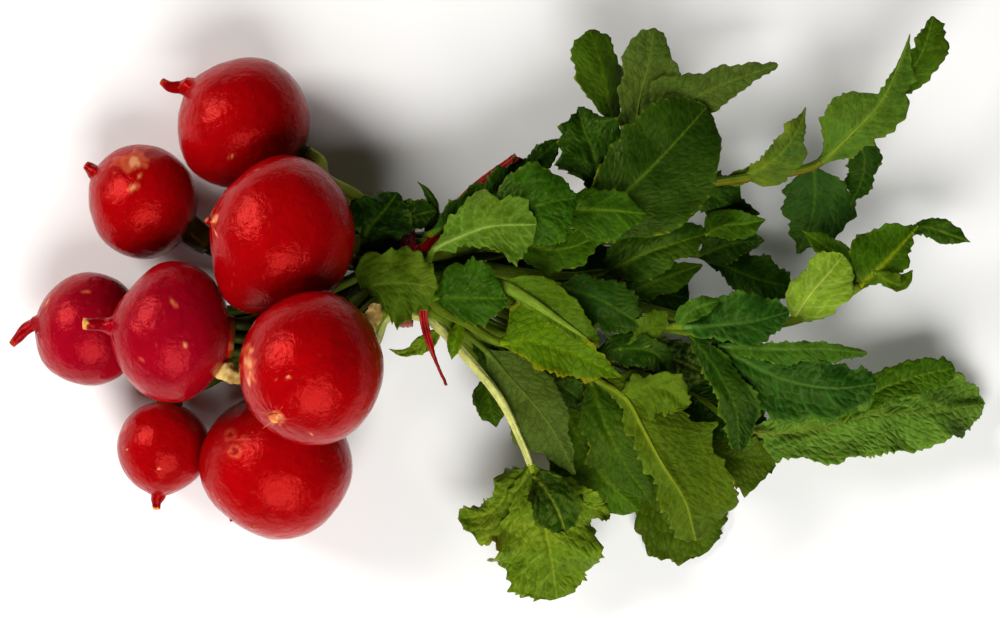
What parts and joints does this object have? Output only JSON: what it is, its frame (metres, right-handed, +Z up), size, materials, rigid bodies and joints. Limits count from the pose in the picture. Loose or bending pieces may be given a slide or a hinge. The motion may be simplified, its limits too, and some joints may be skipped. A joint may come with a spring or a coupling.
{
  "type": "bunch of radishes",
  "caption": "Bunch of round red radishes lying on its side, with leafy green tops and a red twist tie round the stalks.",
  "frame": {"origin": "middle of the box round the bunch, on the surface that it lies on", "axes": "+X from the bulbs to the leaf tips, +Z up from the surface, +Y to the left of +X"},
  "size_m": [0.2975, 0.1771, 0.0848],
  "materials": {
    "radish_red": "waxy skin",
    "radish_pink": "waxy skin",
    "dried_leaf_base": "matte, dried",
    "twist_tie": "satin coated strip over a thin wire",
    "leaf_dark": "satin leaf",
    "leaf_light": "satin leaf",
    "leaf_pale": "matte underside of a leaf"
  },
  "bodies": {
    "root": {"radish_1_bulb": "radish_red", "radish_2_bulb": "radish_red", "radish_3_bulb": "radish_red", "radish_4_bulb": "radish_pink", "radish_5_bulb": "radish_pink", "radish_6_bulb": "radish_red", "radish_7_bulb": "radish_red", "radish_8_bulb": "radish_red", "radish_5_stub": "dried_leaf_base", "radish_6_stub": "dried_leaf_base", "twist_tie": "twist_tie", "leaf_3d": "leaf_pale", "leaf_3i": "leaf_dark", "leaf_3n": "leaf_dark", "leaf_3m": "leaf_dark", "leaf_1h": "leaf_dark", "leaf_1j": "leaf_dark", "leaf_1k": "leaf_dark", "leaf_1l": "leaf_pale", "leaf_2p": "leaf_pale", "leaf_2s": "leaf_dark", "leaf_2v": "leaf_dark", "leaf_5r": "leaf_dark", "leaf_5t": "leaf_dark", "leaf_5v": "leaf_dark", "leaf_5x": "leaf_dark", "leaf_5b": "leaf_dark", "leaf_4u": "leaf_light", "leaf_4w": "leaf_dark", "leaf_4e": "leaf_dark", "leaf_6f": "leaf_light", "leaf_6g": "leaf_light", "leaf_6q": "leaf_dark", "leaf_6e": "leaf_dark", "leaf_6c": "leaf_dark", "leaf_8a": "leaf_light", "leaf_8c": "leaf_pale", "leaf_8n": "leaf_dark", "leaf_8g": "leaf_light", "leaf_7d": "leaf_dark", "leaf_7f": "leaf_dark", "leaf_7h": "leaf_dark"}
  },
  "joints": []
}
